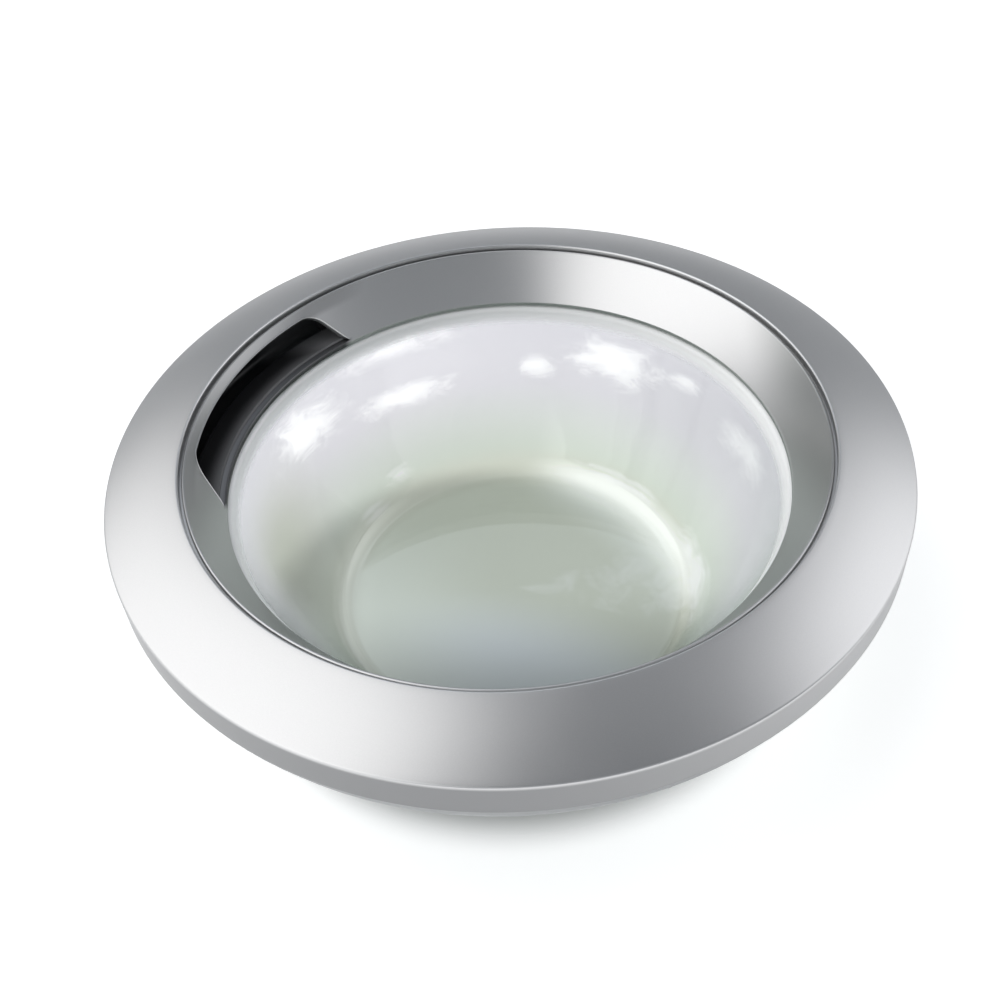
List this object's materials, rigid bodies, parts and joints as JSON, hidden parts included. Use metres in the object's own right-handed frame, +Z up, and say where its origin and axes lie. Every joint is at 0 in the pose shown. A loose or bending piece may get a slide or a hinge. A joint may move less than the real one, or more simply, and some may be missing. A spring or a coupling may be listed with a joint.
{
  "type": "washing machine door",
  "caption": "Round front-loader washing machine door: silver two-part ring with a finger pocket, glass bowl, grey back ring, sprung latch hook and hinge.",
  "frame": {"origin": "on the resting plane, under the centre of the ring", "axes": "+Z up along the axis of the ring, out of its face; -X towards the finger pocket and latch, +X towards the hinge"},
  "size_m": [0.42, 0.42, 0.1317],
  "materials": {
    "silver_paint": "satin metallic silver paint on moulded plastic",
    "black_plastic": "fine-grained black moulding",
    "clear_glass": "pressed clear glass, fire polished",
    "grey_rubber": "smooth moulded rubber",
    "grey_plastic": "light grey moulding, fine grain",
    "zinc_steel": "zinc-plated steel",
    "die_cast": "die-cast zinc, as cast",
    "bright_steel": "ground steel",
    "spring_steel": "drawn spring wire",
    "white_bush": "natural acetal"
  },
  "bodies": {
    "door": {"outer_ring": "silver_paint", "inner_ring": "silver_paint", "handle_cup": "black_plastic", "glass_bowl": "clear_glass", "glass_seal": "grey_rubber", "back_ring": "grey_plastic", "frame_screws": "zinc_steel", "clamp_screws": "zinc_steel", "cup_screws": "zinc_steel", "hook_pin": "bright_steel", "hook_spring": "spring_steel", "hook_bracket": "zinc_steel", "bracket_screws": "zinc_steel", "hinge_door_leaf": "die_cast", "hinge_pin": "bright_steel", "hinge_pin_clip": "spring_steel", "hinge_nut_plate": "zinc_steel", "hinge_screws": "zinc_steel"},
    "hook": {"latch_hook": "die_cast"},
    "cabinet_leaf": {"hinge_cabinet_leaf": "die_cast", "hinge_bush_upper": "white_bush", "hinge_bush_lower": "white_bush"}
  },
  "joints": [
    {"name": "hinge_swing", "type": "hinge", "parent": "door", "child": "cabinet_leaf", "pos_m": [0.195, 0, 0.0804], "axis": [0, -1, 0], "range_deg": [0, 160]},
    {"name": "hook_swing", "type": "hinge", "parent": "door", "child": "hook", "pos_m": [-0.189, 0, 0.0825], "axis": [0, -1, 0], "range_deg": [0, 14], "stiffness_Nm_per_rad": 0.4, "springref_deg": -28.65, "deforming": ["hook_spring"]}
  ]
}
